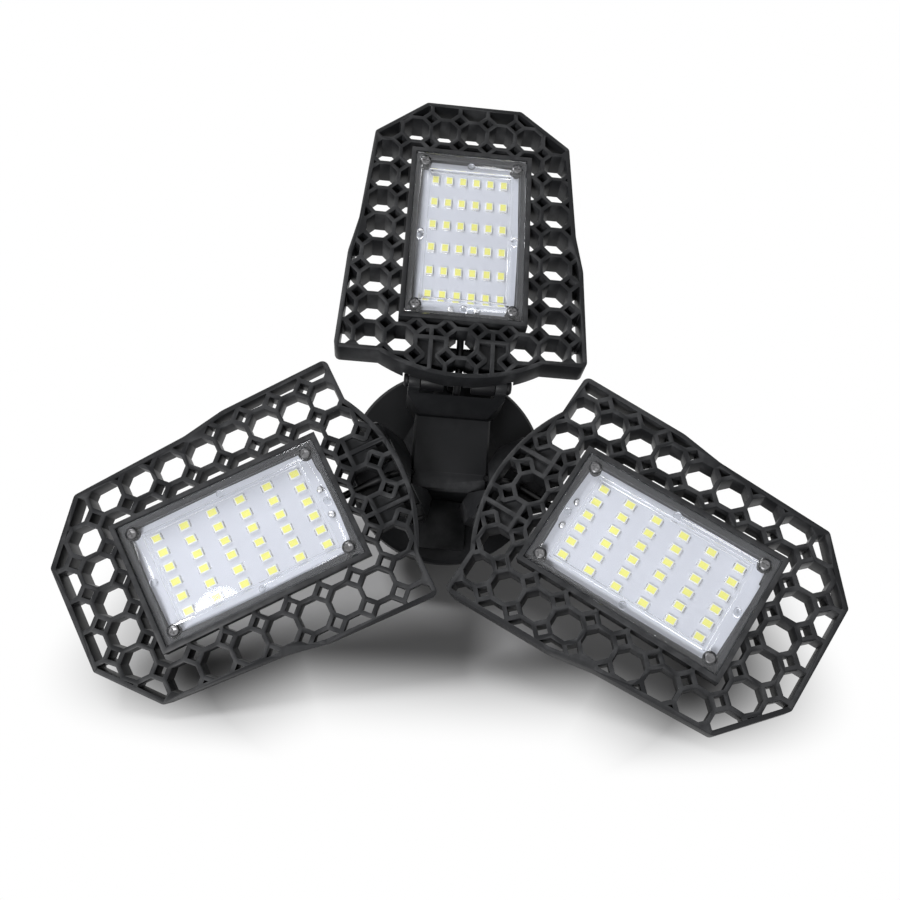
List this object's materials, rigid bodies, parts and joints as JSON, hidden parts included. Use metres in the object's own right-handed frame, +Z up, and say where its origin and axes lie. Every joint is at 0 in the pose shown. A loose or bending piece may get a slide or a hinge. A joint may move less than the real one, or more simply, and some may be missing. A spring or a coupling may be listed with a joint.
{
  "type": "folding ceiling light",
  "caption": "Screw-in ceiling light with tilting lattice panels on a yoked hub, each carrying a clear window over a board of LEDs.",
  "frame": {"origin": "centre of the screw base's shoulder, where it meets the lampholder's mouth", "axes": "+Z up through the screw base, away from the light; panel a folds out towards -Y, panel b towards -X and +Y, panel c towards +X and +Y"},
  "size_m": [0.2562, 0.2333, 0.1483],
  "materials": {
    "black_plastic": "moulded black plastic with a satin face",
    "clear_lens": "clear moulded plastic",
    "seal_rubber": "soft pale silicone",
    "white_board": "aluminium board under white solder mask",
    "led_body": "white LED package",
    "phosphor": "yellow phosphor gel",
    "screw_steel": "dark zinc-plated steel",
    "black_steel": "steel with a black oxide finish",
    "lead_jacket": "black cable jacket",
    "base_metal": "nickel-plated rolled shell",
    "base_insulator": "black glass-like insulator",
    "contact_metal": "tinned brass contact",
    "circuit_board": "green circuit board",
    "transformer_tape": "yellow winding tape",
    "copper_winding": "enamelled copper winding",
    "capacitor_sleeve": "dark blue shrink sleeve",
    "film_block": "yellow potted box",
    "black_resin": "black moulded resin",
    "resistor_coat": "green ceramic coat",
    "white_nylon": "white nylon block",
    "black_wire": "black wire",
    "white_wire": "white wire"
  },
  "bodies": {
    "hub": {"hub_body": "black_plastic", "hub_cover": "black_plastic", "driver_housing": "black_plastic", "housing_screws": "black_steel", "base_collar": "base_metal", "base_shell": "base_metal", "base_insulator": "base_insulator", "base_contact": "contact_metal", "driver_board": "circuit_board", "board_screws": "screw_steel", "transformer": "transformer_tape", "choke": "copper_winding", "bulk_capacitor": "capacitor_sleeve", "film_capacitor": "film_block", "rectifier": "black_resin", "fuse_resistor": "resistor_coat", "connector_block": "white_nylon", "hub_leads": "lead_jacket", "live_wire": "black_wire", "neutral_wire": "white_wire"},
    "panel_a": {"panel_a_frame": "black_plastic", "panel_a_lens": "clear_lens", "panel_a_lens_seal": "seal_rubber", "panel_a_led_board": "white_board", "panel_a_led_packages": "led_body", "panel_a_led_phosphors": "phosphor", "panel_a_lens_screws": "screw_steel", "panel_a_bracket": "black_steel", "panel_a_bracket_screws": "black_steel", "panel_a_hinge_screws": "black_steel", "panel_a_lead": "lead_jacket"},
    "panel_b": {"panel_b_frame": "black_plastic", "panel_b_lens": "clear_lens", "panel_b_lens_seal": "seal_rubber", "panel_b_led_board": "white_board", "panel_b_led_packages": "led_body", "panel_b_led_phosphors": "phosphor", "panel_b_lens_screws": "screw_steel", "panel_b_bracket": "black_steel", "panel_b_bracket_screws": "black_steel", "panel_b_hinge_screws": "black_steel", "panel_b_lead": "lead_jacket"},
    "panel_c": {"panel_c_frame": "black_plastic", "panel_c_lens": "clear_lens", "panel_c_lens_seal": "seal_rubber", "panel_c_led_board": "white_board", "panel_c_led_packages": "led_body", "panel_c_led_phosphors": "phosphor", "panel_c_lens_screws": "screw_steel", "panel_c_bracket": "black_steel", "panel_c_bracket_screws": "black_steel", "panel_c_hinge_screws": "black_steel", "panel_c_lead": "lead_jacket"}
  },
  "joints": [
    {"name": "panel_a_fold", "type": "hinge", "parent": "hub", "child": "panel_a", "pos_m": [0, -0.023, -0.083], "axis": [-1, 0, 0], "range_deg": [-24, 55]},
    {"name": "panel_b_fold", "type": "hinge", "parent": "hub", "child": "panel_b", "pos_m": [-0.01992, 0.0115, -0.083], "axis": [0.5, 0.866, 0], "range_deg": [-16, 63]},
    {"name": "panel_c_fold", "type": "hinge", "parent": "hub", "child": "panel_c", "pos_m": [0.01992, 0.0115, -0.083], "axis": [0.5, -0.866, 0], "range_deg": [0, 79]}
  ]
}
